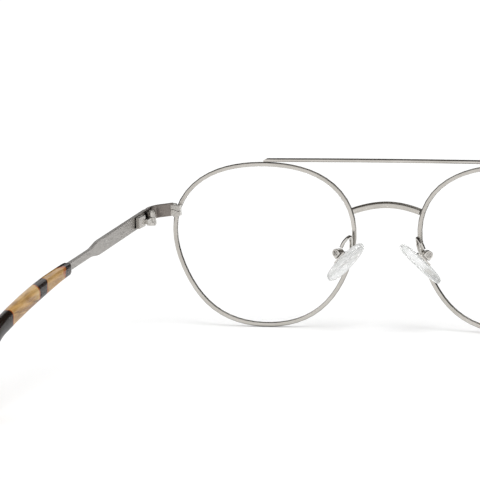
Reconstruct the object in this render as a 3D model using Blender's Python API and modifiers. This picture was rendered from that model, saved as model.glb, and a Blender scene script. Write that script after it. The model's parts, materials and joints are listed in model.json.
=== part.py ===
"""Round double-bridge wire spectacles with acetate temple tips.

Axes: +X to the wearer's left, -Y to the front, +Z up. Every left-hand piece is modelled, and its
right-hand twin is the mirror image. All positions are first given in the front's own frame, whose
origin is midway between the lens centres; the last step stands the spectacles on the ground with
the origin under the middle of their box.
"""
import math

import bmesh
import bpy
from mathutils import Matrix, Vector

MM = 0.001

# Lenses: boxed size at the tip of the edge bevel, and the outline's character
LENS_WIDTH = 50.9 * MM
LENS_HEIGHT = 45.2 * MM
LENS_GAP = 19.4 * MM
LENS_THICKNESS = 1.5 * MM
LENS_CURVE_RADIUS = 132.0 * MM
WRAP_ANGLE = math.radians(4.3)
OVAL = 0.0516           # wider than tall
BROW_LIFT = 0.0366      # fuller above the middle
CORNER_FILL = -0.0117   # slightly squared
CHIN_TAPER = 0.0079     # narrower towards the bottom
TEMPORAL_LEAN = 0.0043  # upper outer corner a little fuller
OUTLINE_STATIONS = 60

# Eye wires
RIM_WIRE_WIDTH = 1.2 * MM
RIM_WIRE_DEPTH = 1.4 * MM
GROOVE_DEPTH = 0.4 * MM
GROOVE_WIDTH = 0.8 * MM
LENS_SEAT_GAP = 0.1 * MM
RIM_SPLIT = 0.3 * MM

# Bridge and brow bar
BRIDGE_HEIGHT = 1.9 * MM
BRIDGE_DEPTH = 1.5 * MM
BRIDGE_JOIN_ANGLE = math.radians(160)
BRIDGE_RISE = 1.75 * MM
BRIDGE_FORWARD = 0.9 * MM
BAR_HEIGHT = 1.0 * MM
BAR_DEPTH = 1.7 * MM
BAR_BOW = 1.5 * MM
BAR_SEAT_GAP = 0.05 * MM
BAR_END_CHAMFER = 0.6 * MM

# Temples
TEMPLE_SPREAD = 135.2 * MM     # between the blades' middle planes at the hinges
TEMPLE_LENGTH = 152.0 * MM     # hinge to tip, along the bend
TEMPLE_SPLAY = math.radians(1.72)
TEMPLE_SLOPE = math.radians(3.1)  # from square to the front: its pantoscopic tilt
BLADE_THICKNESS = 1.1 * MM
BLADE_HEIGHT = 3.9 * MM
BLADE_LENGTH = 44.5 * MM
BLADE_STEP = 8.5 * MM
NECK_HEIGHT = 2.1 * MM
NECK_LENGTH = 18.4 * MM
CORE_HEIGHT = 1.3 * MM
CORE_TAPER = 6.0 * MM
CORE_SHORT_OF_TIP = 7.0 * MM
BEND_TO_TIP = 29.0 * MM
BEND_RADIUS = 22.0 * MM
BEND_ANGLE = math.radians(42)
SETTLE_RADIUS = 420.0 * MM       # the gentle curve of the tip before its bend
TIP_FRONT_HEIGHT = 3.2 * MM
TIP_MIDDLE_HEIGHT = 4.1 * MM
TIP_END_HEIGHT = 5.4 * MM
TIP_THICKNESS = 2.55 * MM
TIP_INSET = 0.32 * MM          # the tip's middle lies inward of the blade's
TIP_CORNER = 0.8 * MM
TIP_NOSE_LENGTH = 1.4 * MM
CHANNEL_CLEARANCE = 0.1 * MM

# Hinges
HINGE_BACK = 11.0 * MM         # hinge axis behind the bridge's middle
HINGE_UP = 8.0 * MM            # blade's middle above the lens centres
BARREL_RADIUS = 1.3 * MM
BARREL_TO_BLADE = 0.05 * MM
KNUCKLE_LOW = -2.5 * MM        # underside of the barrel, from the blade's middle
KNUCKLE_LOWER_HEIGHT = 1.0 * MM
KNUCKLE_MIDDLE_HEIGHT = 1.25 * MM
KNUCKLE_UPPER_HEIGHT = 1.45 * MM
KNUCKLE_GAP = 0.08 * MM
LEAF_INNER = 0.7 * MM          # how far a leaf reaches inward past the axis
FRONT_LEAF_LENGTH = 2.9 * MM
FRONT_PLATE_THICKNESS = 0.9 * MM
BLOCK_START = 5.6 * MM
BLOCK_LENGTH = 5.8 * MM
BLOCK_THICKNESS = 1.2 * MM
BLOCK_HEIGHT = 3.2 * MM
SEAT_GAP = 0.1 * MM
BUTT_GAP = 0.1 * MM
HINGE_SCREW_RADIUS = 0.5 * MM
HINGE_SCREW_HEAD_RADIUS = 1.0 * MM
HINGE_SCREW_HEAD_HEIGHT = 0.35 * MM
SCREW_CLEARANCE = 0.06 * MM
SLOT_WIDTH = 0.25 * MM
SLOT_DEPTH = 0.18 * MM

# End pieces and closing blocks
END_PIECE_HEIGHT = 3.7 * MM
END_PIECE_THICKNESS = 1.1 * MM
END_PIECE_START_UP = 9.4 * MM
END_PIECE_BEND = 2.6 * MM
END_PIECE_ANGLE = math.radians(8)
END_PIECE_LEVEL_END = 1.0 * MM
BLOCK_ANGLE = math.radians(20.5)  # where the closing block sits on the eye wire
CLOSING_WIDTH = 2.8 * MM
CLOSING_DEPTH = 1.6 * MM
CLOSING_HALF_HEIGHT = 1.5 * MM
CLOSING_SPLIT = 0.1 * MM
CLOSING_WAVE = 0.25 * MM
RIM_SCREW_RADIUS = 0.45 * MM
RIM_SCREW_HEAD_RADIUS = 0.7 * MM
RIM_SCREW_HEAD_HEIGHT = 0.35 * MM
RIM_SCREW_TIP = 0.4 * MM
RIM_SCREW_OUTWARD = 0.45 * MM

# Nose pads, their boxes and arms
PAD_LENGTH = 15.4 * MM
PAD_WIDTH = 7.0 * MM
PAD_THICKNESS = 2.9 * MM
PAD_TAPER = 0.12
PAD_FLATNESS = 0.5     # powers below one square up the pad's back and its ends
PAD_FULLNESS = 0.86
PAD_BOX_OUT = 12.75 * MM
PAD_BOX_BACK = 6.5 * MM
PAD_BOX_UP = -1.9 * MM
PAD_BEHIND_BOX = 3.2 * MM
PAD_BELOW_BOX = 0.4 * MM
PAD_AHEAD_OF_BOX = 0.9 * MM
PAD_FRONTAL_ANGLE = math.radians(43)
PAD_VERTICAL_ANGLE = math.radians(20)
PAD_SPLAY_ANGLE = math.radians(24)
BOX_WIDTH = 2.5 * MM
BOX_RADIUS = 1.2 * MM
BOX_FRONT = 1.1 * MM
TAB_THICKNESS = 0.9 * MM
TAB_RADIUS = 0.7 * MM
TAB_GAP = 0.1 * MM
TAB_ROCK_ROOM = 0.25 * MM
INSERT_LENGTH = 4.6 * MM
INSERT_WIDTH = 2.4 * MM
INSERT_THICKNESS = 0.5 * MM
INSERT_SINK = 0.25 * MM
PAD_SCREW_RADIUS = 0.3 * MM
PAD_SCREW_HEAD_RADIUS = 0.72 * MM
PAD_SCREW_HEAD_HEIGHT = 0.3 * MM
ARM_RADIUS = 0.5 * MM
ARM_ROOT_ANGLE = math.radians(188)
ARM_APEX_OUT = 9.5 * MM
ARM_APEX_BACK = 5.1 * MM
ARM_APEX_UP = 2.4 * MM

# Values that follow from the ones above
LENS_CENTRE_OUT = (LENS_WIDTH + LENS_GAP) / 2
GROOVE_BOTTOM = RIM_WIRE_WIDTH / 2 - GROOVE_DEPTH
RIM_CENTRE_OFFSET = GROOVE_BOTTOM + LENS_SEAT_GAP
HINGE_REACH = BARREL_RADIUS + BARREL_TO_BLADE
BLADE_MIDDLE = HINGE_REACH + BLADE_THICKNESS / 2
KNUCKLE_MIDDLE_LOW = KNUCKLE_LOW + KNUCKLE_LOWER_HEIGHT + KNUCKLE_GAP
KNUCKLE_UPPER_LOW = KNUCKLE_MIDDLE_LOW + KNUCKLE_MIDDLE_HEIGHT + KNUCKLE_GAP
KNUCKLE_TOP = KNUCKLE_UPPER_LOW + KNUCKLE_UPPER_HEIGHT
HINGE_AXIS = Vector((TEMPLE_SPREAD / 2 - BLADE_MIDDLE, HINGE_BACK, HINGE_UP))
BEND_START = TEMPLE_LENGTH - BEND_TO_TIP
TIP_START = BLADE_LENGTH + BLADE_STEP + NECK_LENGTH
TIP_END_RADIUS = TIP_END_HEIGHT / 2

FRONT_METAL = (0.43, 0.41, 0.39, 1.0)
SCREW_METAL = (0.62, 0.61, 0.59, 1.0)


# ---------------------------------------------------------------- scene helpers

def clear_scene():
    for old in list(bpy.data.objects):
        bpy.data.objects.remove(old, do_unlink=True)


def new_collection(name):
    collection = bpy.data.collections.new(name)
    bpy.context.scene.collection.children.link(collection)
    return collection


def new_empty(name, matrix, parent=None):
    empty = bpy.data.objects.new(name, None)
    PARTS.objects.link(empty)
    empty.empty_display_size = 5 * MM
    empty.parent = parent
    empty.matrix_local = matrix
    return empty


def new_object(name, data, parent=None, matrix=None):
    piece = bpy.data.objects.new(name, data)
    PARTS.objects.link(piece)
    piece.parent = parent
    if matrix is not None:
        piece.matrix_local = matrix
    return piece


def finish_material(piece, colour, metallic, roughness):
    material = bpy.data.materials.new(piece.name + "_finish")
    material.use_nodes = True
    shader = material.node_tree.nodes["Principled BSDF"]
    shader.inputs["Base Color"].default_value = colour
    shader.inputs["Metallic"].default_value = metallic
    shader.inputs["Roughness"].default_value = roughness
    piece.data.materials.clear()
    piece.data.materials.append(material)


def as_cutter(piece):
    """Move a piece to the cutters, where it stays out of the model."""
    PARTS.objects.unlink(piece)
    CUTTERS.objects.link(piece)
    piece.hide_render = True
    piece.display_type = "WIRE"
    return piece


def boolean(piece, other, operation):
    modifier = piece.modifiers.new(operation.title() + "_" + other.name, "BOOLEAN")
    modifier.operation = operation
    modifier.object = as_cutter(other)


def cut(piece, *others):
    for other in others:
        boolean(piece, other, "DIFFERENCE")


def join(piece, *others):
    for other in others:
        boolean(piece, other, "UNION")


def curve_to_mesh(piece):
    """Turn a curve object into a welded mesh object of the same name and place."""
    evaluated = piece.evaluated_get(bpy.context.evaluated_depsgraph_get())
    mesh = bpy.data.meshes.new_from_object(evaluated)
    body = bmesh.new()
    body.from_mesh(mesh)
    bmesh.ops.remove_doubles(body, verts=body.verts, dist=1e-7)
    bmesh.ops.recalc_face_normals(body, faces=body.faces)
    body.to_mesh(mesh)
    body.free()
    name, parent, matrix = piece.name, piece.parent, piece.matrix_local.copy()
    bpy.data.objects.remove(piece, do_unlink=True)
    return new_object(name, mesh, parent, matrix)


def mesh_object(name, body, parent, matrix=None):
    mesh = bpy.data.meshes.new(name)
    bmesh.ops.recalc_face_normals(body, faces=body.faces)
    body.to_mesh(mesh)
    body.free()
    return new_object(name, mesh, parent, matrix)


# ---------------------------------------------------------------- shape helpers

def box(name, low, high, parent, matrix=None):
    body = bmesh.new()
    size = Vector(high) - Vector(low)
    middle = (Vector(high) + Vector(low)) / 2
    bmesh.ops.create_cube(body, size=1.0)
    bmesh.ops.transform(body, verts=body.verts,
                        matrix=Matrix.Translation(middle) @ Matrix.Diagonal(size.to_4d()))
    return mesh_object(name, body, parent, matrix)


def cylinder(name, radius, low, high, parent, centre=(0, 0), along="Z", sides=24):
    """A cylinder between two heights along one of its parent's axes."""
    body = bmesh.new()
    bmesh.ops.create_cone(body, cap_ends=True, segments=sides, radius1=radius, radius2=radius,
                          depth=high - low)
    lift = Matrix.Translation((centre[0], centre[1], (low + high) / 2))
    turn = Matrix.Identity(4) if along == "Z" else Matrix.Rotation(math.pi / 2, 4, "Y")
    bmesh.ops.transform(body, verts=body.verts, matrix=turn @ lift)
    return mesh_object(name, body, parent)


def soften(piece, width, segments=1):
    """Round the piece's edges."""
    modifier = piece.modifiers.new("Soften", "BEVEL")
    modifier.width = width
    modifier.segments = segments
    modifier.limit_method = "ANGLE"
    modifier.angle_limit = math.radians(40)


def profile_curve(name, points):
    """A closed flat section for a curve to carry along its path."""
    curve = bpy.data.curves.new(name, "CURVE")
    curve.dimensions = "2D"
    curve.fill_mode = "NONE"
    spline = curve.splines.new("POLY")
    spline.points.add(len(points) - 1)
    for point, (across, up) in zip(spline.points, points):
        point.co = (across, up, 0, 1)
    spline.use_cyclic_u = True
    section = new_object(name, curve)
    return as_cutter(section)


def wire(name, points, parent, radius=0.0, section=None, matrix=None, sides=2):
    """A wire along the points, either round or with its own section."""
    curve = bpy.data.curves.new(name, "CURVE")
    curve.dimensions = "3D"
    curve.twist_mode = "Z_UP"
    curve.render_resolution_u = 0
    curve.use_fill_caps = True
    if section:
        curve.bevel_mode = "OBJECT"
        curve.bevel_object = section
    else:
        curve.bevel_depth = radius
        curve.bevel_resolution = sides
    spline = curve.splines.new("POLY")
    spline.points.add(len(points) - 1)
    for point, place in zip(spline.points, points):
        point.co = (*place, 1)
    return curve_to_mesh(new_object(name, curve, parent, matrix))


def plate(name, outline, thickness, parent, matrix, edge=0.0):
    """A flat plate of the outline, its edges eased by a small chamfer."""
    curve = bpy.data.curves.new(name, "CURVE")
    curve.dimensions = "2D"
    curve.fill_mode = "BOTH"
    curve.render_resolution_u = 0
    curve.extrude = thickness / 2 - edge
    curve.bevel_depth = edge
    curve.bevel_resolution = 0
    curve.offset = -edge
    spline = curve.splines.new("POLY")
    spline.points.add(len(outline) - 1)
    for point, (across, up) in zip(spline.points, outline):
        point.co = (across, up, 0, 1)
    spline.use_cyclic_u = True
    return curve_to_mesh(new_object(name, curve, parent, matrix))


def loft(name, rings, parent, matrix=None, front_pole=None, back_pole=None):
    """Skin over unlike rings of equal length, closed by poles or by flat ends."""
    body = bmesh.new()
    loops = [[body.verts.new(point) for point in ring] for ring in rings]
    count = len(loops[0])
    for first, second in zip(loops, loops[1:]):
        for i in range(count):
            j = (i + 1) % count
            body.faces.new((first[i], first[j], second[j], second[i]))
    for loop, pole in ((loops[0], front_pole), (loops[-1], back_pole)):
        if pole is None:
            body.faces.new(loop)
            continue
        tip = body.verts.new(pole)
        for i in range(count):
            body.faces.new((loop[i], loop[(i + 1) % count], tip))
    return mesh_object(name, body, parent, matrix)


def smooth_path(points, steps):
    """Points along a smooth curve through the given ones."""
    points = [Vector(point) for point in points]
    padded = [2 * points[0] - points[1]] + points + [2 * points[-1] - points[-2]]
    path = [points[0]]
    for before, start, end, after in zip(padded, padded[1:], padded[2:], padded[3:]):
        for step in range(1, steps + 1):
            t = step / steps
            path.append(0.5 * (2 * start + (end - before) * t
                               + (2 * before - 5 * start + 4 * end - after) * t ** 2
                               + (3 * start - before - 3 * end + after) * t ** 3))
    return path


def smoothstep(value):
    value = min(max(value, 0.0), 1.0)
    return value * value * (3 - 2 * value)


def slotted(name, radius, low, height, parent, centre=(0, 0), along="Z", cross=False):
    """A screw head with a driver slot, or with a cross, in its outer face."""
    head = cylinder(name, radius, low, low + height, parent, centre, along)
    turn = Matrix.Identity(4) if along == "Z" else Matrix.Rotation(math.pi / 2, 4, "Y")
    reach = 1.2 * radius
    top = low + height
    for number in range(2 if cross else 1):
        half = Vector((reach, SLOT_WIDTH / 2)) if number == 0 else Vector((SLOT_WIDTH / 2, reach))
        bottom = (centre[0] - half.x, centre[1] - half.y, top - SLOT_DEPTH)
        roof = (centre[0] + half.x, centre[1] + half.y, top + SLOT_DEPTH)
        cut(head, box(f"{name}_slot_{number}", bottom, roof, parent, turn))
    return head


# ---------------------------------------------------------------- lens outline

def raw_outline(angle):
    radius = (1 + OVAL * math.cos(2 * angle) + BROW_LIFT * math.sin(3 * angle)
              + CORNER_FILL * math.cos(4 * angle) + CHIN_TAPER * math.sin(5 * angle)
              + TEMPORAL_LEAN * math.sin(2 * angle))
    return Vector((radius * math.cos(angle), radius * math.sin(angle)))


def outline_scale():
    """Scales that bring the raw outline to the boxed lens size."""
    samples = [raw_outline(math.tau * i / 720) for i in range(720)]
    width = max(p.x for p in samples) - min(p.x for p in samples)
    height = max(p.y for p in samples) - min(p.y for p in samples)
    return LENS_WIDTH / width, LENS_HEIGHT / height


def lens_outline(angle, offset=0.0):
    """Point of the outline at an angle, moved outward by the offset."""
    scale_x, scale_y = OUTLINE_SCALE
    before, here, after = (raw_outline(angle + step) for step in (-1e-3, 0, 1e-3))
    along = Vector(((after.x - before.x) * scale_x, (after.y - before.y) * scale_y)).normalized()
    return Vector((here.x * scale_x, here.y * scale_y)) + offset * Vector((along.y, -along.x))


def lens_surface(point, forward=0.0):
    """Lift a flat point onto the lens curve; forward is towards the front."""
    sag = point.length_squared / (2 * LENS_CURVE_RADIUS)
    return Vector((point.x, point.y, forward - sag))


OUTLINE_SCALE = outline_scale()
LENS_MATRIX = (Matrix.Translation((LENS_CENTRE_OUT, 0, 0)) @ Matrix.Rotation(WRAP_ANGLE, 4, "Z")
               @ Matrix.Rotation(math.pi / 2, 4, "X"))


def rim_point(angle, offset=0.0, forward=0.0):
    """Place on the left eye wire's middle line, in the front's frame."""
    flat = lens_outline(angle, RIM_CENTRE_OFFSET + offset)
    return LENS_MATRIX @ lens_surface(flat, forward)


# ---------------------------------------------------------------- front pieces

def make_lens():
    """Constant-thickness meniscus with a bevelled edge that fits the groove."""
    half = LENS_THICKNESS / 2
    shoulder = RIM_WIRE_WIDTH / 2 + RIM_CENTRE_OFFSET + LENS_SEAT_GAP
    bevel_root = shoulder - 0.05 * MM
    angles = [math.tau * i / OUTLINE_STATIONS for i in range(OUTLINE_STATIONS)]
    rings = []
    for inset, forward, share in ((0, half, 0.35), (0, half, 0.7), (shoulder, half, 1),
                                  (bevel_root, half / 2, 1), (0, 0, 1), (bevel_root, -half / 2, 1),
                                  (shoulder, -half, 1), (0, -half, 0.7), (0, -half, 0.35)):
        flat = [share * lens_outline(angle, -inset) for angle in angles]
        rings.append([lens_surface(point, forward) for point in flat])
    lens = loft("lens_left", rings, FRONT, LENS_MATRIX, (0, 0, half), (0, 0, -half))
    finish_material(lens, (0.95, 0.97, 0.97, 1.0), 0.0, 0.05)


def rim_section():
    """Eye-wire section: +x outward, y along the depth, a V groove on the inner side."""
    out = RIM_WIRE_WIDTH / 2
    deep = RIM_WIRE_DEPTH / 2
    ease = 0.25 * MM
    mouth = GROOVE_WIDTH / 2
    return [(out, -deep + ease), (out, deep - ease), (out - ease, deep), (-out, deep),
            (-out, mouth), (-GROOVE_BOTTOM, 0), (-out, -mouth), (-out, -deep), (out - ease, -deep)]


def make_rim():
    """Open grooved wire, whose two ends meet at the closing block."""
    reach = LENS_WIDTH / 2
    start = BLOCK_ANGLE + RIM_SPLIT / 2 / reach
    sweep = math.tau - RIM_SPLIT / reach
    points = []
    for i in range(OUTLINE_STATIONS + 1):
        flat = lens_outline(start + sweep * i / OUTLINE_STATIONS, RIM_CENTRE_OFFSET)
        points.append(lens_surface(flat))
    rim = wire("rim_left", points, FRONT, section=profile_curve("rim_section", rim_section()),
               matrix=LENS_MATRIX)
    finish_material(rim, FRONT_METAL, 1.0, 0.35)


def oval_section(name, depth, height, sides=12):
    ring = []
    for i in range(sides):
        angle = math.tau * (i + 0.5) / sides
        ring.append((depth / 2 * math.cos(angle), height / 2 * math.sin(angle)))
    return profile_curve(name, ring)


def make_bridge():
    """Arched wire from rim to rim."""
    seat = RIM_WIRE_WIDTH / 2 + SEAT_GAP
    join_point = rim_point(BRIDGE_JOIN_ANGLE, seat)
    half_span = join_point.x
    points = []
    for i in range(-10, 11):
        share = i / 10
        arch = math.cos(share * math.pi / 2) ** 0.9
        points.append((share * half_span, join_point.y - BRIDGE_FORWARD * arch,
                       join_point.z + BRIDGE_RISE * arch))
    section = oval_section("bridge_section", BRIDGE_DEPTH, BRIDGE_HEIGHT)
    bridge = wire("bridge", points, FRONT, section=section)
    finish_material(bridge, FRONT_METAL, 1.0, 0.3)


def make_brow_bar():
    """Flat bar lying on the tops of both eye wires."""
    top = rim_point(math.pi / 2, RIM_WIRE_WIDTH / 2)
    height = top.z + BAR_SEAT_GAP + BAR_HEIGHT / 2
    points = []
    for i in range(-12, 13):
        share = i / 12
        points.append((share * top.x, top.y - BAR_BOW * (1 - share * share), height))
    half_depth, half_height = BAR_DEPTH / 2, BAR_HEIGHT / 2
    ease = 0.25 * MM
    section = profile_curve("bar_section", [
        (half_depth, -half_height + ease), (half_depth, half_height - ease),
        (half_depth - ease, half_height), (-half_depth + ease, half_height),
        (-half_depth, half_height - ease), (-half_depth, -half_height + ease),
        (-half_depth + ease, -half_height), (half_depth - ease, -half_height)])
    bar = wire("brow_bar", points, FRONT, section=section)
    for side in (-1, 1):
        tool = box(f"bar_end_cutter_{side}", (-BAR_DEPTH, -BAR_DEPTH, 0),
                   (BAR_DEPTH, BAR_DEPTH, BAR_DEPTH), FRONT,
                   Matrix.Translation((side * top.x, top.y, height + half_height - BAR_END_CHAMFER))
                   @ Matrix.Rotation(side * math.radians(30), 4, "Y"))
        cut(bar, tool)
    finish_material(bar, FRONT_METAL, 1.0, 0.3)


def end_piece_path():
    """From beside the eye wire, round the corner, back to the butt at the hinge."""
    rim = rim_point(BLOCK_ANGLE, RIM_WIRE_WIDTH / 2 + SEAT_GAP)
    along = Vector((math.cos(END_PIECE_ANGLE), math.sin(END_PIECE_ANGLE)))
    rear = Vector((-math.sin(TEMPLE_SPLAY), math.cos(TEMPLE_SPLAY)))
    side = Vector((math.cos(TEMPLE_SPLAY), math.sin(TEMPLE_SPLAY)))
    butt = HINGE_AXIS.xy + BLADE_MIDDLE * side - BUTT_GAP / 2 * rear
    start = Vector((rim.x, rim.y)) + END_PIECE_THICKNESS / 2 * along
    turn = math.pi / 2 + TEMPLE_SPLAY - END_PIECE_ANGLE
    gap = butt - start
    to_corner = (gap.x * rear.y - gap.y * rear.x) / (along.x * rear.y - along.y * rear.x)
    corner = start + to_corner * along
    tangent = END_PIECE_BEND * math.tan(turn / 2)
    centre = corner - tangent * along + END_PIECE_BEND * Vector((-along.y, along.x))
    plan = [start, corner - tangent * along]
    for i in range(1, 9):
        angle = END_PIECE_ANGLE - math.pi / 2 + turn * i / 8
        plan.append(centre + END_PIECE_BEND * Vector((math.cos(angle), math.sin(angle))))
    plan += [butt - END_PIECE_LEVEL_END * rear, butt]
    lengths = [0.0]
    for first, second in zip(plan, plan[1:]):
        lengths.append(lengths[-1] + (second - first).length)
    level = lengths[-2]
    drop = END_PIECE_START_UP - HINGE_UP
    return [(place.x, place.y, END_PIECE_START_UP - drop * smoothstep(length / level))
            for place, length in zip(plan, lengths)]


def make_end_piece():
    half_thick, half_high = END_PIECE_THICKNESS / 2, END_PIECE_HEIGHT / 2
    ease = 0.15 * MM
    section = profile_curve("end_piece_section", [
        (half_thick, -half_high + ease), (half_thick, half_high - ease),
        (half_thick - ease, half_high), (-half_thick + ease, half_high),
        (-half_thick, half_high - ease), (-half_thick, -half_high + ease),
        (-half_thick + ease, -half_high), (half_thick - ease, -half_high)])
    piece = wire("end_piece_left", end_piece_path(), FRONT, section=section)
    finish_material(piece, FRONT_METAL, 1.0, 0.4)


def closing_block_frame():
    """Middle of the closing block, behind the ends of the eye wire."""
    middle = rim_point(BLOCK_ANGLE, RIM_WIRE_WIDTH / 6, -RIM_WIRE_DEPTH / 2)
    return middle + Vector((0, SEAT_GAP + CLOSING_DEPTH / 2, 0))


def make_closing_block():
    """Two halves that a small vertical screw pulls together to hold the lens."""
    middle = closing_block_frame()
    half_width = CLOSING_WIDTH / 2
    upright = Matrix.Translation(middle) @ Matrix.Rotation(math.pi / 2, 4, "X")
    for name, sign in (("upper", 1), ("lower", -1)):
        face = []
        for i in range(9):
            share = i / 4 - 1
            wave = CLOSING_WAVE * math.sin(share * math.pi * 0.9)
            face.append((share * half_width, sign * CLOSING_SPLIT / 2 + wave))
        outline = face + [(half_width, sign * CLOSING_HALF_HEIGHT),
                          (-half_width, sign * CLOSING_HALF_HEIGHT)]
        half = plate(f"closing_block_{name}_left", outline, CLOSING_DEPTH, FRONT, upright)
        hole = cylinder(f"closing_hole_{name}", RIM_SCREW_RADIUS + SCREW_CLEARANCE, -3 * MM, 3 * MM,
                        FRONT, sides=16)
        hole.matrix_local = Matrix.Translation(middle + Vector((RIM_SCREW_OUTWARD, 0, 0)))
        cut(half, hole)
        soften(half, 0.2 * MM)
        finish_material(half, SCREW_METAL, 1.0, 0.3)
    axis = new_empty("rim_screw_left_axis",
                     Matrix.Translation(middle + Vector((RIM_SCREW_OUTWARD, 0, 0))), FRONT)
    top = CLOSING_HALF_HEIGHT + SCREW_CLEARANCE
    screw = slotted("rim_screw_left", RIM_SCREW_HEAD_RADIUS, top, RIM_SCREW_HEAD_HEIGHT, axis)
    shank = cylinder("rim_screw_shank", RIM_SCREW_RADIUS, -CLOSING_HALF_HEIGHT - RIM_SCREW_TIP,
                     top + RIM_SCREW_HEAD_HEIGHT / 3, axis, sides=16)
    join(screw, shank)
    finish_material(screw, SCREW_METAL, 1.0, 0.25)


# ---------------------------------------------------------------- hinge

def make_hinge_front():
    """Upper and lower knuckles on a plate fixed inside the end piece."""
    plate_outer = HINGE_REACH - SEAT_GAP
    clear = BARREL_RADIUS + SEAT_GAP
    piece = box("hinge_front_left", (plate_outer - FRONT_PLATE_THICKNESS, -FRONT_LEAF_LENGTH,
                                     KNUCKLE_LOW), (plate_outer, -clear, KNUCKLE_TOP), HINGE)
    for name, low, high in (("lower", KNUCKLE_LOW, KNUCKLE_LOW + KNUCKLE_LOWER_HEIGHT),
                            ("upper", KNUCKLE_UPPER_LOW, KNUCKLE_TOP)):
        leaf = box(f"front_leaf_{name}", (-LEAF_INNER, -FRONT_LEAF_LENGTH, low),
                   (plate_outer, 0, high), HINGE)
        join(piece, leaf, cylinder(f"front_knuckle_{name}", BARREL_RADIUS, low, high, HINGE))
    cut(piece, cylinder("front_knuckle_hole", HINGE_SCREW_RADIUS + SCREW_CLEARANCE, -8 * MM, 8 * MM,
                        HINGE, sides=16))
    finish_material(piece, SCREW_METAL, 1.0, 0.35)


def make_hinge_temple():
    """Middle knuckle on a block fixed inside the temple blade."""
    outer = HINGE_REACH - SEAT_GAP
    low, high = KNUCKLE_MIDDLE_LOW, KNUCKLE_MIDDLE_LOW + KNUCKLE_MIDDLE_HEIGHT
    drop = math.tan(TEMPLE_SLOPE) * (BLOCK_START + BLOCK_LENGTH / 2)
    piece = box("hinge_temple_left",
                (outer - BLOCK_THICKNESS, BLOCK_START, -drop - BLOCK_HEIGHT / 2),
                (outer, BLOCK_START + BLOCK_LENGTH, -drop + BLOCK_HEIGHT / 2), HINGE)
    soften(piece, 0.15 * MM)
    leaf = box("temple_leaf", (-LEAF_INNER, 0, low), (outer, BLOCK_START + 0.5 * MM, high), HINGE)
    knuckle = cylinder("temple_knuckle", BARREL_RADIUS, low, high, HINGE)
    join(piece, leaf, knuckle)
    cut(piece, cylinder("temple_knuckle_hole", HINGE_SCREW_RADIUS + SCREW_CLEARANCE, -8 * MM,
                        8 * MM, HINGE, sides=16))
    finish_material(piece, SCREW_METAL, 1.0, 0.35)


def make_hinge_screw():
    top = KNUCKLE_TOP + SCREW_CLEARANCE
    screw = slotted("hinge_screw_left", HINGE_SCREW_HEAD_RADIUS, top, HINGE_SCREW_HEAD_HEIGHT,
                    HINGE)
    join(screw, cylinder("hinge_screw_shank", HINGE_SCREW_RADIUS, KNUCKLE_LOW,
                         top + HINGE_SCREW_HEAD_HEIGHT / 3, HINGE, sides=16))
    finish_material(screw, SCREW_METAL, 1.0, 0.25)


# ---------------------------------------------------------------- temple

def temple_path(length):
    """Distance back, height and slope of the temple's middle line."""
    back, up, slope = 0.0, 0.0, TEMPLE_SLOPE
    for stretch, radius in ((TIP_START, None), (BEND_START - TIP_START, SETTLE_RADIUS),
                            (BEND_RADIUS * BEND_ANGLE, BEND_RADIUS), (TEMPLE_LENGTH, None)):
        run = min(length, stretch)
        length -= run
        if radius:
            end_slope = slope + run / radius
            back += radius * (math.sin(end_slope) - math.sin(slope))
            up -= radius * (math.cos(slope) - math.cos(end_slope))
            slope = end_slope
        else:
            back += run * math.cos(slope)
            up -= run * math.sin(slope)
    return back, up, slope


CORE_END = TEMPLE_LENGTH - CORE_SHORT_OF_TIP
ARC_END = BEND_START + BEND_RADIUS * BEND_ANGLE


def metal_half_height(length):
    """Half the metal's height: blade, step to the neck, then the core inside the tip."""
    step = smoothstep((length - BLADE_LENGTH) / BLADE_STEP)
    height = BLADE_HEIGHT + (NECK_HEIGHT - BLADE_HEIGHT) * step
    taper = smoothstep((length - TIP_START - TIP_NOSE_LENGTH) / CORE_TAPER)
    return (height + (CORE_HEIGHT - NECK_HEIGHT) * taper) / 2


def stations(start, end, marks, arc_steps):
    """Lengths along the temple where its outline needs a point."""
    places = {start, end}
    places.update(mark for mark in marks if start < mark < end)
    first, last = max(start, BEND_START), min(end, ARC_END)
    places.update(first + (last - first) * i / arc_steps for i in range(arc_steps + 1))
    return sorted(places)


def ribbon(lengths, extra=0.0):
    """Closed outline on both sides of the temple's middle line."""
    upper, lower = [], []
    for length in lengths:
        back, up, slope = temple_path(length)
        half = metal_half_height(length) + extra
        upper.append((back + half * math.sin(slope), up + half * math.cos(slope)))
        lower.append((back - half * math.sin(slope), up - half * math.cos(slope)))
    return lower + upper[::-1]


def metal_marks():
    step = [BLADE_LENGTH + BLADE_STEP * i / 6 for i in range(7)]
    taper = [TIP_START + TIP_NOSE_LENGTH + CORE_TAPER * i / 4 for i in range(5)]
    settle = [TIP_START + (BEND_START - TIP_START) * i / 6 for i in range(1, 6)]
    return step + taper + settle


TEMPLE_PLANE = Matrix.Translation((BLADE_MIDDLE, 0, 0)) @ Matrix((
    (0, 0, 1, 0), (1, 0, 0, 0), (0, 1, 0, 0), (0, 0, 0, 1)))


def make_temple():
    """Flat blade, neck and core in one piece, with an upright butt at the hinge."""
    lengths = stations(BLADE_LENGTH, CORE_END, metal_marks(), 12)
    outline = ribbon(lengths)
    half = BLADE_HEIGHT / 2
    outline = [(BUTT_GAP / 2, -half)] + outline + [(BUTT_GAP / 2, half)]
    temple = plate("temple_left", outline, BLADE_THICKNESS, HINGE, TEMPLE_PLANE, 0.12 * MM)
    finish_material(temple, FRONT_METAL, 1.0, 0.4)


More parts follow.
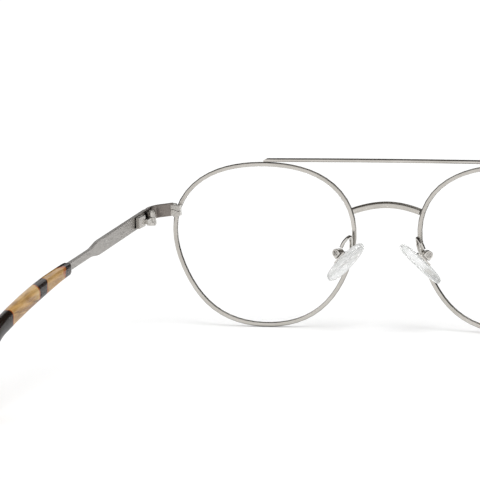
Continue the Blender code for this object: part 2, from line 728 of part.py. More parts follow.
def tip_section(length):
    """Section of the acetate tip: a rectangle with eased corners, rounded off at both ends."""
    back, up, slope = temple_path(length)
    into = length - TIP_START
    grow = smoothstep(into / (0.35 * (TEMPLE_LENGTH - TIP_START)))
    swell = smoothstep((length - BEND_START) / (0.8 * BEND_TO_TIP))
    height = (TIP_FRONT_HEIGHT + (TIP_MIDDLE_HEIGHT - TIP_FRONT_HEIGHT) * grow
              + (TIP_END_HEIGHT - TIP_MIDDLE_HEIGHT) * swell)
    nose = 1 - 0.3 * (1 - min(into / TIP_NOSE_LENGTH, 1)) ** 2
    to_end = min((TEMPLE_LENGTH - length) / TIP_END_RADIUS, 1)
    close = math.sqrt(max(1 - (1 - to_end) ** 2, 0))
    half_high = height / 2 * nose * close
    half_thick = TIP_THICKNESS / 2 * nose * (0.35 + 0.65 * close)
    corner = min(TIP_CORNER, 0.6 * half_high, 0.6 * half_thick)
    ring = []
    for quarter in range(4):
        sign_x = 1 if quarter in (0, 3) else -1
        sign_z = 1 if quarter in (0, 1) else -1
        for i in range(3):
            angle = math.pi / 2 * (quarter + i / 2)
            across = sign_x * (half_thick - corner) + corner * math.cos(angle)
            rise = sign_z * (half_high - corner) + corner * math.sin(angle)
            ring.append((BLADE_MIDDLE - TIP_INSET + across, back + rise * math.sin(slope),
                         up + rise * math.cos(slope)))
    return ring


def make_temple_tip():
    """Acetate sleeve over the temple's core, open at its front."""
    nose = [TIP_START + TIP_NOSE_LENGTH * i / 4 for i in range(1, 5)]
    body = [TIP_START + (BEND_START - TIP_START) * i / 6 for i in range(1, 7)]
    tail = [ARC_END + (TEMPLE_LENGTH - TIP_END_RADIUS - ARC_END) * i / 4 for i in range(1, 5)]
    end_cap = [TEMPLE_LENGTH - TIP_END_RADIUS * (1 - math.sin(math.pi / 2 * i / 5))
               for i in range(1, 5)]
    last = TEMPLE_LENGTH - 0.02 * TIP_END_RADIUS
    lengths = stations(TIP_START, last, nose + body + tail + end_cap, 12)
    tip = loft("temple_tip_left", [tip_section(length) for length in lengths], HINGE)
    channel_lengths = stations(TIP_START - 2 * MM, CORE_END + CHANNEL_CLEARANCE, metal_marks(), 12)
    channel = plate("tip_channel", ribbon(channel_lengths, CHANNEL_CLEARANCE),
                    BLADE_THICKNESS + 2 * CHANNEL_CLEARANCE, HINGE, TEMPLE_PLANE)
    cut(tip, channel)
    finish_material(tip, (0.45, 0.27, 0.12, 1.0), 0.0, 0.2)


# ---------------------------------------------------------------- nose pads

def pad_frame():
    """Pad box's frame: x along the screw to the rear, y to the nose, z up along the pad."""
    screw = Vector((math.sin(PAD_SPLAY_ANGLE), math.cos(PAD_SPLAY_ANGLE), 0))
    up = Vector((-math.tan(PAD_FRONTAL_ANGLE), math.tan(PAD_VERTICAL_ANGLE), 1)).normalized()
    face = up.cross(screw).normalized()
    screw = face.cross(up)
    matrix = Matrix((screw, face, up)).transposed().to_4x4()
    return Matrix.Translation((PAD_BOX_OUT, PAD_BOX_BACK, PAD_BOX_UP)) @ matrix


PAD_MATRIX = pad_frame()
PAD_CENTRE = Vector((-PAD_AHEAD_OF_BOX, PAD_BEHIND_BOX, -PAD_BELOW_BOX))
PAD_BACK = PAD_BEHIND_BOX - PAD_THICKNESS / 2


def make_nose_pad():
    """Soft oval pad, a little wider at its foot, with a pocket for the insert."""
    body = bmesh.new()
    bmesh.ops.create_uvsphere(body, u_segments=24, v_segments=14, radius=1.0)
    for vert in body.verts:
        x, y, z = vert.co
        flat = math.copysign(abs(y) ** PAD_FLATNESS, y)
        across = math.copysign(abs(x) ** PAD_FULLNESS, x) * (1 - PAD_TAPER * z)
        along = math.copysign(abs(z) ** PAD_FULLNESS, z)
        vert.co = PAD_CENTRE + Vector((across * PAD_WIDTH / 2, flat * PAD_THICKNESS / 2,
                                       along * PAD_LENGTH / 2))
    pad = mesh_object("nose_pad_left", body, PAD)
    half_width = INSERT_WIDTH / 2 + TAB_GAP
    half_length = INSERT_LENGTH / 2 + TAB_GAP
    pocket = box("pad_pocket", (-half_width, PAD_BACK - PAD_THICKNESS, -half_length),
                 (half_width, PAD_BACK + INSERT_SINK + TAB_GAP, half_length), PAD)
    cut(pad, pocket)
    finish_material(pad, (0.9, 0.91, 0.9, 1.0), 0.0, 0.25)


def make_pad_insert():
    """Metal plate in the pad's back with a drilled tab that the box holds."""
    front = PAD_BACK + INSERT_SINK
    back = front - INSERT_THICKNESS
    insert = box("pad_insert_left", (-INSERT_WIDTH / 2, back, -INSERT_LENGTH / 2),
                 (INSERT_WIDTH / 2, front, INSERT_LENGTH / 2), PAD)
    half = TAB_THICKNESS / 2
    tab = box("insert_tab", (-half, 0, -TAB_RADIUS), (half, back + 0.1 * MM, TAB_RADIUS), PAD)
    eye = cylinder("insert_eye", TAB_RADIUS, -half, half, PAD, along="X", sides=20)
    join(insert, tab, eye)
    cut(insert, cylinder("insert_hole", PAD_SCREW_RADIUS + SCREW_CLEARANCE, -2 * MM, 2 * MM, PAD,
                         along="X", sides=16))
    finish_material(insert, SCREW_METAL, 1.0, 0.3)


def make_pad_box():
    """D-shaped box, slotted for the tab and drilled for the screw."""
    outline = [(BOX_FRONT, -BOX_RADIUS), (BOX_FRONT, BOX_RADIUS)]
    for i in range(9):
        angle = math.pi / 2 + math.pi * i / 8
        outline.append((BOX_RADIUS * math.cos(angle), BOX_RADIUS * math.sin(angle)))
    across = Matrix(((0, 0, 1, 0), (1, 0, 0, 0), (0, 1, 0, 0), (0, 0, 0, 1)))
    piece = plate("pad_box_left", outline, BOX_WIDTH, PAD_ARM, PAD_MATRIX @ across, 0.12 * MM)
    half_slot = TAB_THICKNESS / 2 + TAB_GAP
    slot = box("box_slot", (-half_slot, -TAB_RADIUS - TAB_GAP, -TAB_RADIUS - TAB_ROCK_ROOM),
               (half_slot, 3 * MM, TAB_RADIUS + TAB_ROCK_ROOM), PAD_ARM, PAD_MATRIX)
    hole = cylinder("box_hole", PAD_SCREW_RADIUS + SCREW_CLEARANCE, -3 * MM, 3 * MM, PAD_SEAT,
                    along="X", sides=16)
    sink = BOX_WIDTH / 2 - PAD_SCREW_HEAD_HEIGHT - SCREW_CLEARANCE
    recess = cylinder("box_recess", PAD_SCREW_HEAD_RADIUS + SCREW_CLEARANCE, sink, 3 * MM,
                      PAD_SEAT, along="X")
    cut(piece, slot, hole, recess)
    finish_material(piece, SCREW_METAL, 1.0, 0.15)


def make_pad_screw():
    low = BOX_WIDTH / 2 - PAD_SCREW_HEAD_HEIGHT
    screw = slotted("pad_screw_left", PAD_SCREW_HEAD_RADIUS, low, PAD_SCREW_HEAD_HEIGHT, PAD_SEAT,
                    along="X", cross=True)
    join(screw, cylinder("pad_screw_shank", PAD_SCREW_RADIUS, -BOX_WIDTH / 2 + 0.2 * MM,
                         low + PAD_SCREW_HEAD_HEIGHT / 3, PAD_SEAT, along="X", sides=16))
    finish_material(screw, SCREW_METAL, 1.0, 0.2)


def make_pad_arm():
    """Looped wire from the back of the eye wire to the pad box."""
    root = rim_point(ARM_ROOT_ANGLE, 0, -RIM_WIRE_DEPTH / 2 - SEAT_GAP - ARM_RADIUS)
    apex = Vector((ARM_APEX_OUT, ARM_APEX_BACK, ARM_APEX_UP))
    upper_leg = PAD_MATRIX @ Vector((0, -0.3 * MM, BOX_RADIUS + SEAT_GAP + ARM_RADIUS))
    lift = Vector((0, 1.2 * MM, 1.9 * MM))
    lead = root.lerp(apex, 0.45) + Vector((-0.2 * MM, 0.35 * MM, 0))
    drop = apex.lerp(upper_leg, 0.5) + Vector((0.25 * MM, 0.5 * MM, 0.35 * MM))
    points = smooth_path([root, root + 0.5 * lift, lead, apex, drop, upper_leg], 5)
    arm = wire("pad_arm_left", points, FRONT, radius=ARM_RADIUS)
    finish_material(arm, SCREW_METAL, 1.0, 0.15)


# ---------------------------------------------------------------- mirror and stand

def mirror_to_right(piece, parent):
    """Right-hand twin of an evaluated left-hand piece, under its own parent."""
    evaluated = piece.evaluated_get(bpy.context.evaluated_depsgraph_get())
    mesh = bpy.data.meshes.new_from_object(evaluated)
    flip = Matrix.Scale(-1, 4, (1, 0, 0))
    mesh.transform(parent.matrix_world.inverted() @ flip @ piece.matrix_world)
    mesh.flip_normals()
    twin = new_object(piece.name.replace("_left", "_right"), mesh, parent)
    shader = piece.data.materials[0].node_tree.nodes["Principled BSDF"].inputs
    finish_material(twin, tuple(shader["Base Color"].default_value),
                    shader["Metallic"].default_value, shader["Roughness"].default_value)


def mirrored_place(empty):
    """A left-hand empty's place, mirrored; the axes are mirrored and kept right-handed."""
    flip = Matrix.Scale(-1, 4, (1, 0, 0))
    return flip @ empty.matrix_local @ flip


def shade_smooth(piece):
    piece.data.shade_smooth()
    piece.data.set_sharp_from_angle(angle=math.radians(35))


def world_points(pieces):
    """Every vertex of the evaluated pieces, with the root empty still at rest."""
    graph = bpy.context.evaluated_depsgraph_get()
    points = []
    for piece in pieces:
        mesh = piece.evaluated_get(graph).data
        points += [piece.matrix_world @ vert.co for vert in mesh.vertices]
    return points


def lowest(points, lean):
    """Lowest height once the object leans back by an angle."""
    return min(point.z * math.cos(lean) + point.y * math.sin(lean) for point in points)


def stand_on_ground():
    """Lean the object back until eye wires and temple tips all touch the ground, then put the
    origin on the ground under the middle of its box."""
    bpy.context.view_layer.update()
    wires = world_points([bpy.data.objects["rim_left"]])
    tips = world_points([bpy.data.objects["temple_tip_left"]])
    least, most = math.radians(-15), math.radians(15)
    for _ in range(40):
        lean = (least + most) / 2
        if lowest(tips, lean) > lowest(wires, lean):
            most = lean
        else:
            least = lean
    FRONT.rotation_euler = (lean, 0, 0)
    bpy.context.view_layer.update()
    points = world_points([piece for piece in PARTS.objects if piece.type == "MESH"])
    middle = (max(point.y for point in points) + min(point.y for point in points)) / 2
    FRONT.location = (0, -middle, -min(point.z for point in points))


clear_scene()
PARTS = new_collection("round_wire_eyeglasses")
CUTTERS = new_collection("cutters")
FRONT = new_empty("eyeglasses_origin", Matrix.Identity(4))
HINGE = new_empty("temple_left_axis", Matrix.Translation(HINGE_AXIS)
                  @ Matrix.Rotation(TEMPLE_SPLAY, 4, "Z"), FRONT)
PAD_ARM = FRONT
PAD = new_empty("pad_left_axis", PAD_MATRIX, FRONT)
PAD_SEAT = new_empty("pad_box_left_axis", PAD_MATRIX, FRONT)
bpy.context.view_layer.update()

make_lens()
make_rim()
make_bridge()
make_brow_bar()
make_end_piece()
make_closing_block()
make_hinge_front()
make_hinge_temple()
make_hinge_screw()
make_temple()
make_temple_tip()
make_nose_pad()
make_pad_insert()
make_pad_box()
make_pad_screw()
make_pad_arm()

bpy.context.view_layer.update()
RIGHT_PARENTS = {}
for left in (HINGE, PAD, PAD_SEAT):
    right_name = left.name.replace("_left", "_right")
    RIGHT_PARENTS[left.name] = new_empty(right_name, mirrored_place(left), FRONT)
bpy.context.view_layer.update()
for left in [item for item in PARTS.objects if item.type == "MESH" and "_left" in item.name]:
    mirror_to_right(left, RIGHT_PARENTS.get(left.parent.name, FRONT))
for item in PARTS.objects:
    if item.type == "MESH":
        shade_smooth(item)
stand_on_ground()
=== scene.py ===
"""Looks for the round double-bridge wire spectacles: finishes, nose pads, light and camera.

The row frame has +X to the wearer's left, -Y to the front and +Z up. Lengths are in metres.
"""

import json
import math

import bmesh
import bpy
from mathutils import Matrix, Vector


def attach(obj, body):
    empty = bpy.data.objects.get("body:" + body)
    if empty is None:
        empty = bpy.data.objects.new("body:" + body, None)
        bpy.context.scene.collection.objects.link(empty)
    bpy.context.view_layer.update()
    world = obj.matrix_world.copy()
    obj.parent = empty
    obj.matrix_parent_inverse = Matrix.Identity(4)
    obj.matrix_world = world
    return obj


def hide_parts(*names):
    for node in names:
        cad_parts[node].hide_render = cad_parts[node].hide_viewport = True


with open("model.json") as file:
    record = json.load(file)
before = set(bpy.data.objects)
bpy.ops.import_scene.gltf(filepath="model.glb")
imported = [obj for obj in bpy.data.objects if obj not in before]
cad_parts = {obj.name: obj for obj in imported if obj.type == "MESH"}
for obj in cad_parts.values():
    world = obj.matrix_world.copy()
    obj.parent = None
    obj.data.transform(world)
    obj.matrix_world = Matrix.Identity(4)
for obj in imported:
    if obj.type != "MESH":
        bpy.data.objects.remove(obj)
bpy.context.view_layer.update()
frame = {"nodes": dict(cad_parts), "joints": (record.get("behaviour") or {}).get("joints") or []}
NODES = frame["nodes"]

MM = 0.001

# The left hinge axis in the front's own frame, whose origin is midway between the lens centres
HINGE_PLACE = Vector((65.7, 11.0, 8.0)) * MM

# Camera, in the front's frame
CAMERA_PLACE = Vector((-142.2, 650.9, 95.5)) * MM
CAMERA_YAW = math.radians(15.876)
CAMERA_PITCH = math.radians(8.018)
CAMERA_ROLL = math.radians(-1.119)
CAMERA_LENS_MM = 180.08
SENSOR_MM = 36.0

# Nose pads, in the front's frame
PAD_LENGTH = 15.4 * MM
PAD_WIDTH = 7.0 * MM
PAD_THICKNESS = 2.9 * MM
PAD_TAPER = 0.12
PAD_FLATNESS = 0.5
PAD_FULLNESS = 0.86
PAD_SHRINK = 0.985
PAD_PIVOT = Vector((12.75, 6.5, -1.9)) * MM
PAD_OFFSET = Vector((-0.9, 3.2, -0.4)) * MM
PAD_FRONTAL_ANGLE = math.radians(43)
PAD_VERTICAL_ANGLE = math.radians(20)
PAD_SPLAY_ANGLE = math.radians(24)

# Dye patches along a tip: how far back they lie in the row frame, then share of that reach
# and how dark the acetate is there
DYE_REACH = (5 * MM, 80 * MM)
DYE_PATCHES = [(0.0, 1.0), (0.06, 0.95), (0.10, 0.0), (0.25, 0.0), (0.27, 1.0), (0.375, 1.0),
               (0.395, 0.0), (0.63, 0.0), (0.655, 1.0), (0.76, 1.0), (0.785, 0.0),
               (0.90, 0.0), (0.94, 1.0), (1.0, 1.0)]

# Seat for the insert on the back of a pad: its depth, its middle and its width, as shares
SEAT_DEPTH = 0.10
SEAT_MIDDLE = 0.6
SEAT_WIDTH = 0.14

WELD_DISTANCE = 0.0005 * MM
EDGE_ANGLE = math.radians(32)

# Daylight share and soft key, which together light a level surface at about one
SKY_SHARE = 0.74
KEY_STRENGTH = 1.05
KEY_SOFTNESS = math.radians(38)


# ---------------------------------------------------------------- colours and nodes

def linear(hex_colour):
    """A hex sRGB colour as linear red, green, blue and a full alpha."""
    values = []
    for start in (1, 3, 5):
        share = int(hex_colour[start:start + 2], 16) / 255
        if share <= 0.04045:
            values.append(share / 12.92)
        else:
            values.append(((share + 0.055) / 1.055) ** 2.4)
    return (*values, 1.0)


def node(tree, kind, settings=None, values=None, links=None):
    """Add a node with its settings, socket values and incoming links."""
    made = tree.nodes.new(kind)
    for key, value in (settings or {}).items():
        setattr(made, key, value)
    for socket, value in (values or {}).items():
        made.inputs[socket].default_value = value
    for socket, source in (links or {}).items():
        tree.links.new(source, made.inputs[socket])
    return made


def new_finish(name, values):
    """A material with its Principled shader's even values and the object's own coordinates."""
    finish = bpy.data.materials.new(name)
    finish.use_nodes = True
    tree = finish.node_tree
    shader = tree.nodes["Principled BSDF"]
    for socket, value in values.items():
        shader.inputs[socket].default_value = value
    place = node(tree, "ShaderNodeTexCoord").outputs["Object"]
    return finish, tree, shader, place


def grain(tree, place, size, stretch=(1, 1, 1), detail=3.0, roughness=0.55, distortion=0.0):
    """Noise whose features are about a size in metres, stretched along the axes."""
    scaled = node(tree, "ShaderNodeMapping", {}, {"Scale": [1 / s for s in stretch]},
                  {"Vector": place})
    return node(tree, "ShaderNodeTexNoise", {},
                {"Scale": 1 / size, "Detail": detail, "Roughness": roughness,
                 "Distortion": distortion}, {"Vector": scaled.outputs[0]}).outputs["Fac"]


def span(tree, source, low, high, from_low=0.3, from_high=0.7):
    """Spread a value to a new range."""
    return node(tree, "ShaderNodeMapRange", {},
                {"From Min": from_low, "From Max": from_high, "To Min": low, "To Max": high},
                {"Value": source}).outputs["Result"]


# Places of the share and the two colours among the mix node's sockets, and of its colour out
MIX_INPUTS = (0, 6, 7)
MIX_OUTPUT = 2


def mixed(tree, share, first, second):
    """Mix two colours, each a hex colour or a socket, by a socket or a number."""
    made = node(tree, "ShaderNodeMix", {"data_type": "RGBA"})
    for index, value in zip(MIX_INPUTS, (share, first, second)):
        if isinstance(value, str):
            made.inputs[index].default_value = linear(value)
        elif isinstance(value, float):
            made.inputs[index].default_value = value
        else:
            tree.links.new(value, made.inputs[index])
    return made.outputs[MIX_OUTPUT]


def relief(tree, shader, height, depth, strength=1.0):
    """Bump from a height, its full depth in metres."""
    bump = node(tree, "ShaderNodeBump", {}, {"Strength": strength, "Distance": depth},
                {"Height": height})
    tree.links.new(bump.outputs[0], shader.inputs["Normal"])


# ---------------------------------------------------------------- finishes

def plated_steel(name, tone, shade, pit_and_shade_colour, rough, brush=(1, 1, 1), brushed_depth=0.004 * MM,
                 shade_reach=1.4 * MM):
    """Satin or polished plating on steel: even tone, faint clouds, fine lines where it was
    brushed, and painted shade darkening the inside corners."""
    finish, tree, shader, place = new_finish(name, {"Metallic": 1.0})
    # Plating varies slowly, over about 7 mm, and its pits are drawn at 0.9 mm
    clouds = grain(tree, place, 7 * MM, detail=2.0)
    # Brush marks are about 0.05 mm apart; drawn at 0.35 mm so that they show
    lines = grain(tree, place, 0.35 * MM, brush, 1.5, 0.5)
    specks = grain(tree, place, 0.9 * MM, detail=5.0, roughness=0.7)
    colour = mixed(tree, span(tree, clouds, 0.0, 1.0), tone, shade)
    colour = mixed(tree, span(tree, specks, 0.0, 0.10, 0.55, 0.75), colour, pit_and_shade_colour)
    # Painted shade: ambient occlusion mixes the colour towards the dark tone in inside corners
    # and between parts, where less light reaches
    occlusion_shade = node(tree, "ShaderNodeAmbientOcclusion", {"samples": 8}, {"Distance": shade_reach})
    depth = span(tree, occlusion_shade.outputs["AO"], 0.6, 0.0, 0.2, 0.8)
    colour = mixed(tree, depth, colour, pit_and_shade_colour)
    tree.links.new(colour, shader.inputs["Base Color"])
    tree.links.new(span(tree, lines, rough * 0.88, rough * 1.14), shader.inputs["Roughness"])
    relief(tree, shader, lines, brushed_depth, 0.05)
    return finish


def honey_acetate():
    """Polished cellulose acetate cut from a laminated sheet: honey with lengthwise streaks and
    near-black patches whose edges glow orange; deep gloss like horn."""
    finish, tree, shader, place = new_finish(
        "honey_tortoiseshell_acetate", {"IOR": 1.49, "Specular IOR Level": 0.13})
    # Streaks in the sheet are about 1 mm wide and run nine times as long
    streak = grain(tree, place, 1.1 * MM, (1, 9, 1), 5.0, 0.6, 0.4)
    haze = grain(tree, place, 8 * MM, (1, 1.6, 1), 2.0)
    honey = mixed(tree, span(tree, streak, 0.0, 1.0, 0.36, 0.64), "#bd9257", "#7d5427")
    honey = mixed(tree, span(tree, haze, 0.0, 0.5), honey, "#cfb27b")
    thread = grain(tree, place, 1.6 * MM, (1, 14, 1), 2.0, 0.5, 0.2)
    honey = mixed(tree, span(tree, thread, 0.0, 0.75, 0.62, 0.70), honey, "#2b1a10")
    # The dye patches run across the sheet, so they follow distance along the temple
    along = node(tree, "ShaderNodeSeparateXYZ", {}, {}, {"Vector": place}).outputs["Y"]
    ragged = grain(tree, place, 7 * MM, (1, 1, 1), 1.2, 0.5, 0.5)
    sway = span(tree, ragged, -3.0 * MM, 3.0 * MM)
    shifted = node(tree, "ShaderNodeMath", {"operation": "ADD"}, {}, {0: along, 1: sway})
    share = span(tree, shifted.outputs[0], 0.0, 1.0, *DYE_REACH)
    ramp = node(tree, "ShaderNodeValToRGB", {}, {}, {"Fac": share})
    elements = ramp.color_ramp.elements
    while len(elements) < len(DYE_PATCHES):
        elements.new(0.5)
    for element, (position, dark) in zip(elements, DYE_PATCHES):
        element.position = position
        element.color = (dark, dark, dark, 1)
    rim_glow = mixed(tree, span(tree, ramp.outputs["Color"], 0.0, 1.0, 0.0, 0.35), honey,
                     "#9a4f17")
    colour = mixed(tree, span(tree, ramp.outputs["Color"], 0.0, 1.0, 0.35, 0.8), rim_glow,
                   "#1a110c")
    tree.links.new(colour, shader.inputs["Base Color"])
    polish = grain(tree, place, 1.5 * MM, detail=4.0)
    tree.links.new(span(tree, polish, 0.08, 0.18), shader.inputs["Roughness"])
    relief(tree, shader, polish, 0.004 * MM, 0.15)
    return finish


def clear_silicone():
    """Clear moulded silicone: slightly cloudy, soft sheen, fine moulding texture."""
    finish, tree, shader, place = new_finish(
        "clear_moulded_silicone",
        {"IOR": 1.41, "Transmission Weight": 0.6, "Alpha": 0.8})
    # Cloudiness varies over about 2 mm, and the mould's texture is drawn at 0.3 mm
    cloud = grain(tree, place, 2.2 * MM, detail=3.0)
    skin = grain(tree, place, 0.3 * MM, detail=4.0)
    tree.links.new(mixed(tree, span(tree, cloud, 0.0, 1.0), "#ffffff", "#eef0ee"),
                   shader.inputs["Base Color"])
    tree.links.new(span(tree, skin, 0.08, 0.16), shader.inputs["Roughness"])
    relief(tree, shader, skin, 0.002 * MM, 0.15)
    return finish


def coated_lens():
    """Hard-coated clear plastic lens: almost nothing but a faint reflection and wipe marks."""
    finish, tree, shader, place = new_finish(
        "hard_coated_lens_plastic",
        {"IOR": 1.5, "Transmission Weight": 1.0, "Alpha": 0.1, "Coat Weight": 0.1,
         "Coat Roughness": 0.03})
    # Cloth wipes leave marks about 6 mm wide
    wipe = grain(tree, place, 6 * MM, (2.5, 1, 1), 3.0)
    tree.links.new(mixed(tree, span(tree, wipe, 0.0, 1.0), "#ffffff", "#f7faf9"),
                   shader.inputs["Base Color"])
    tree.links.new(span(tree, wipe, 0.0, 0.03), shader.inputs["Roughness"])
    return finish


# ---------------------------------------------------------------- pieces

def give(names, finish, edge=0.0, steps=2):
    """Put a finish on CAD nodes, round their edges by a width, and shade them smoothly."""
    for name in names:
        piece = NODES[name]
        custom = piece.data.attributes.get("custom_normal")
        if custom:
            piece.data.attributes.remove(custom)
        piece.data.materials.clear()
        piece.data.materials.append(finish)
        for face in piece.data.polygons:
            face.use_smooth = True
            face.material_index = 0
        weld = piece.modifiers.new("Weld", "WELD")
        weld.merge_threshold = WELD_DISTANCE
        if edge:
            bevel = piece.modifiers.new("Edges", "BEVEL")
            bevel.width = edge
            bevel.segments = steps
            bevel.limit_method = "ANGLE"
            bevel.angle_limit = EDGE_ANGLE
            bevel.harden_normals = True
        else:
            split = piece.modifiers.new("Edges", "EDGE_SPLIT")
            split.split_angle = EDGE_ANGLE


def both(*names):
    return [f"{name}_{side}" for name in names for side in ("left", "right")]


def front_place():
    """The front's frame in the row frame, from where the left temple's hinge lies."""
    hinge = next(joint for joint in frame["joints"] if joint["name"] == "temple_fold_left")
    lean = Matrix.Rotation(-math.atan2(hinge["axis"][1], hinge["axis"][2]), 4, "X")
    return Matrix.Translation(Vector(hinge["pos_m"]) - lean @ HINGE_PLACE) @ lean


FRONT = front_place()


def pad_place():
    """The left pad's frame: x to the rear along its screw, y to the nose, z up along the pad."""
    screw = Vector((math.sin(PAD_SPLAY_ANGLE), math.cos(PAD_SPLAY_ANGLE), 0))
    up = Vector((-math.tan(PAD_FRONTAL_ANGLE), math.tan(PAD_VERTICAL_ANGLE), 1)).normalized()
    face = up.cross(screw).normalized()
    turn = Matrix((face.cross(up), face, up)).transposed().to_4x4()
    return FRONT @ Matrix.Translation(PAD_PIVOT) @ turn


def nose_pad(side, finish):
    """Drop-shaped silicone pad, crowned towards the nose, with a shallow lip on its back."""
    body = bmesh.new()
    bmesh.ops.create_uvsphere(body, u_segments=56, v_segments=36, radius=1.0)
    for vert in body.verts:
        x, y, z = vert.co
        flat = math.copysign(abs(y) ** PAD_FLATNESS, y)
        across = math.copysign(abs(x) ** PAD_FULLNESS, x) * (1 - PAD_TAPER * z)
        along = math.copysign(abs(z) ** PAD_FULLNESS, z)
        edge = math.hypot(x, z)
        if y < 0:
            flat += SEAT_DEPTH * (1 - math.exp(-((edge - SEAT_MIDDLE) / SEAT_WIDTH) ** 2))
        vert.co = PAD_OFFSET + PAD_SHRINK * Vector((
            across * PAD_WIDTH / 2, flat * PAD_THICKNESS / 2, along * PAD_LENGTH / 2))
    place = pad_place()
    bmesh.ops.transform(body, matrix=place, verts=body.verts)
    if side == "right":
        bmesh.ops.scale(body, vec=(-1, 1, 1), verts=body.verts)
    bmesh.ops.recalc_face_normals(body, faces=body.faces)
    mesh = bpy.data.meshes.new(f"silicone_pad_{side}")
    body.to_mesh(mesh)
    body.free()
    pad = bpy.data.objects.new(f"silicone_pad_{side}", mesh)
    bpy.context.scene.collection.objects.link(pad)
    mesh.materials.append(finish)
    mesh.shade_smooth()
    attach(pad, f"pad_{side}")
    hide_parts(f"nose_pad_{side}")


# ---------------------------------------------------------------- studio

def plane(name, width, depth, place, turn, finish):
    body = bmesh.new()
    bmesh.ops.create_grid(body, x_segments=1, y_segments=1, size=0.5)
    mesh = bpy.data.meshes.new(name)
    bmesh.ops.scale(body, vec=(width, depth, 1), verts=body.verts)
    body.to_mesh(mesh)
    body.free()
    made = bpy.data.objects.new(name, mesh)
    bpy.context.scene.collection.objects.link(made)
    made.location = place
    made.rotation_euler = turn
    mesh.materials.append(finish)
    return made


def floor():
    """White sweep that keeps a soft shadow."""
    finish, tree, shader, place = new_finish("white_paper_sweep", {
        "Roughness": 0.95, "Specular IOR Level": 0.0, "Emission Color": linear("#ffffff"),
        "Emission Strength": 0.05})
    tooth = grain(tree, place, 40 * MM, detail=2.0)
    tree.links.new(mixed(tree, tooth, "#ffffff", "#fdfdfd"), shader.inputs["Base Color"])
    plane("paper_sweep", 12.0, 12.0, (0, 0, -0.05 * MM), (0, 0, 0), finish)


def reflection_card(name, width, depth, place, turn, colour):
    """A dark card that only polished surfaces see, so that metal keeps its dark lines."""
    finish = new_finish(name + "_felt", {
        "Roughness": 1.0, "Specular IOR Level": 0.0, "Base Color": linear(colour)})[0]
    card = plane(name, width, depth, place, turn, finish)
    card.visible_camera = False
    card.visible_diffuse = False
    card.visible_transmission = False
    card.visible_shadow = False


def sky():
    """Even white surround, a little weaker where it lights matt surfaces."""
    world = bpy.data.worlds.new("white_surround")
    bpy.context.scene.world = world
    world.use_nodes = True
    tree = world.node_tree
    tree.nodes.clear()
    path = node(tree, "ShaderNodeLightPath")
    seen = node(tree, "ShaderNodeMath", {"operation": "MAXIMUM"}, {},
                {0: path.outputs["Is Camera Ray"], 1: path.outputs["Is Glossy Ray"]})
    seen = node(tree, "ShaderNodeMath", {"operation": "MAXIMUM"}, {},
                {0: seen.outputs[0], 1: path.outputs["Is Transmission Ray"]})
    dim = node(tree, "ShaderNodeBackground", {},
               {"Color": linear("#ffffff"), "Strength": SKY_SHARE})
    white = node(tree, "ShaderNodeBackground", {}, {"Color": linear("#ffffff"), "Strength": 1.0})
    blended = node(tree, "ShaderNodeMixShader", {}, {}, {0: seen.outputs[0]})
    tree.links.new(dim.outputs[0], blended.inputs[1])
    tree.links.new(white.outputs[0], blended.inputs[2])
    node(tree, "ShaderNodeOutputWorld", {}, {}, {"Surface": blended.outputs[0]})


def key_lamp():
    lamp = bpy.data.lights.new("soft_key", "SUN")
    lamp.energy = KEY_STRENGTH
    lamp.angle = KEY_SOFTNESS
    made = bpy.data.objects.new("soft_key", lamp)
    bpy.context.scene.collection.objects.link(made)
    made.rotation_euler = (math.radians(-22), math.radians(-18), 0)


def camera():
    turn = Matrix.Rotation(CAMERA_YAW, 3, "Z") @ Matrix.Rotation(CAMERA_PITCH, 3, "X")
    ahead = turn @ Vector((0, -1, 0))
    level = turn @ Vector((-1, 0, 0))
    upright = turn @ Vector((0, 0, 1))
    right = math.cos(CAMERA_ROLL) * level + math.sin(CAMERA_ROLL) * upright
    up = math.cos(CAMERA_ROLL) * upright - math.sin(CAMERA_ROLL) * level
    axes = Matrix((right, up, -ahead)).transposed().to_4x4()
    lens = bpy.data.cameras.new("camera")
    lens.lens = CAMERA_LENS_MM
    lens.sensor_width = SENSOR_MM
    lens.clip_start = 0.01
    lens.clip_end = 50
    made = bpy.data.objects.new("camera", lens)
    bpy.context.scene.collection.objects.link(made)
    made.matrix_world = FRONT @ Matrix.Translation(CAMERA_PLACE) @ axes
    bpy.context.scene.camera = made


# ---------------------------------------------------------------- the scene

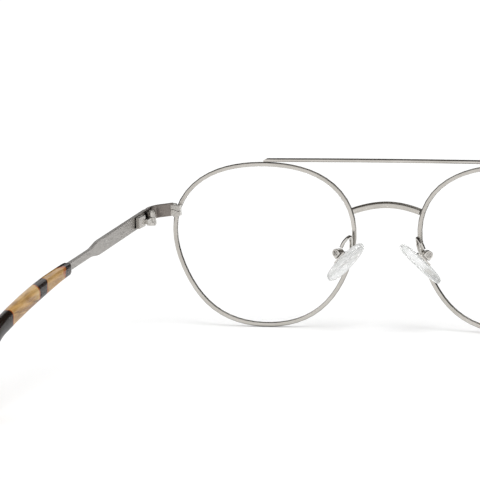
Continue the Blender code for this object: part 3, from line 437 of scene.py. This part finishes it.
wire_steel = plated_steel("satin_pewter_plated_wire", "#c9c5bf", "#bbb7b0", "#4b4844", 0.2,
                          brushed_depth=0.003 * MM)
sheet_steel = plated_steel("satin_pewter_plated_sheet", "#a5a19c", "#98948f", "#565250", 0.32,
                           (1, 14, 1), 0.006 * MM)
# Painted shade: the end pieces get a darker, browner copy of the same pewter plating, standing
# in for the darker surroundings they reflect
shaded_end_piece_steel = plated_steel("satin_pewter_end_piece_painted_shade", "#8f8883", "#817a75", "#403b38", 0.36,
                            (6, 6, 1), 0.006 * MM)
bright_steel = plated_steel("tumble_polished_nickel_silver", "#d9d6d1", "#c6c2bc", "#4a4643",
                            0.16, brushed_depth=0.002 * MM, shade_reach=0.8 * MM)
hinge_steel = plated_steel("milled_hinge_steel", "#d2cfca", "#bfbbb5", "#3d3a37", 0.26,
                           (1, 5, 1), 0.005 * MM, 1.0 * MM)
screw_steel = plated_steel("turned_screw_steel", "#c9c6c1", "#aaa6a0", "#2f2b29", 0.2,
                           (3, 3, 1), 0.004 * MM, 0.5 * MM)

give(both("rim"), wire_steel, 0.24 * MM, 3)
give(["bridge"], wire_steel)
give(["brow_bar"], wire_steel, 0.12 * MM)
give(both("temple"), sheet_steel, 0.06 * MM)
give(both("end_piece"), shaded_end_piece_steel, 0.08 * MM)
give(both("pad_arm", "pad_box", "pad_insert"), bright_steel)
give(both("hinge_front", "hinge_temple", "closing_block_upper", "closing_block_lower"),
     hinge_steel, 0.07 * MM)
give(both("rim_screw", "pad_screw", "hinge_screw"), screw_steel)
give(both("temple_tip"), honey_acetate())
give(both("lens"), coated_lens())

silicone = clear_silicone()
nose_pad("left", silicone)
nose_pad("right", silicone)

floor()
reflection_card("overhead_card", 1.6, 1.3, (0, -0.05, 0.5), (0, 0, 0), "#4a4743")
reflection_card("left_card", 0.8, 1.2, (0.65, 0, 0.4), (0, math.radians(90), 0), "#2c2927")
reflection_card("right_card", 0.8, 1.2, (-0.65, 0, 0.4), (0, math.radians(90), 0), "#2c2927")
reflection_card("front_card", 0.9, 0.3, (0, -0.8, 0.15), (math.radians(90), 0, 0), "#2c2927")
sky()
key_lamp()
camera()

settings = bpy.context.scene.view_settings
settings.view_transform = "Standard"
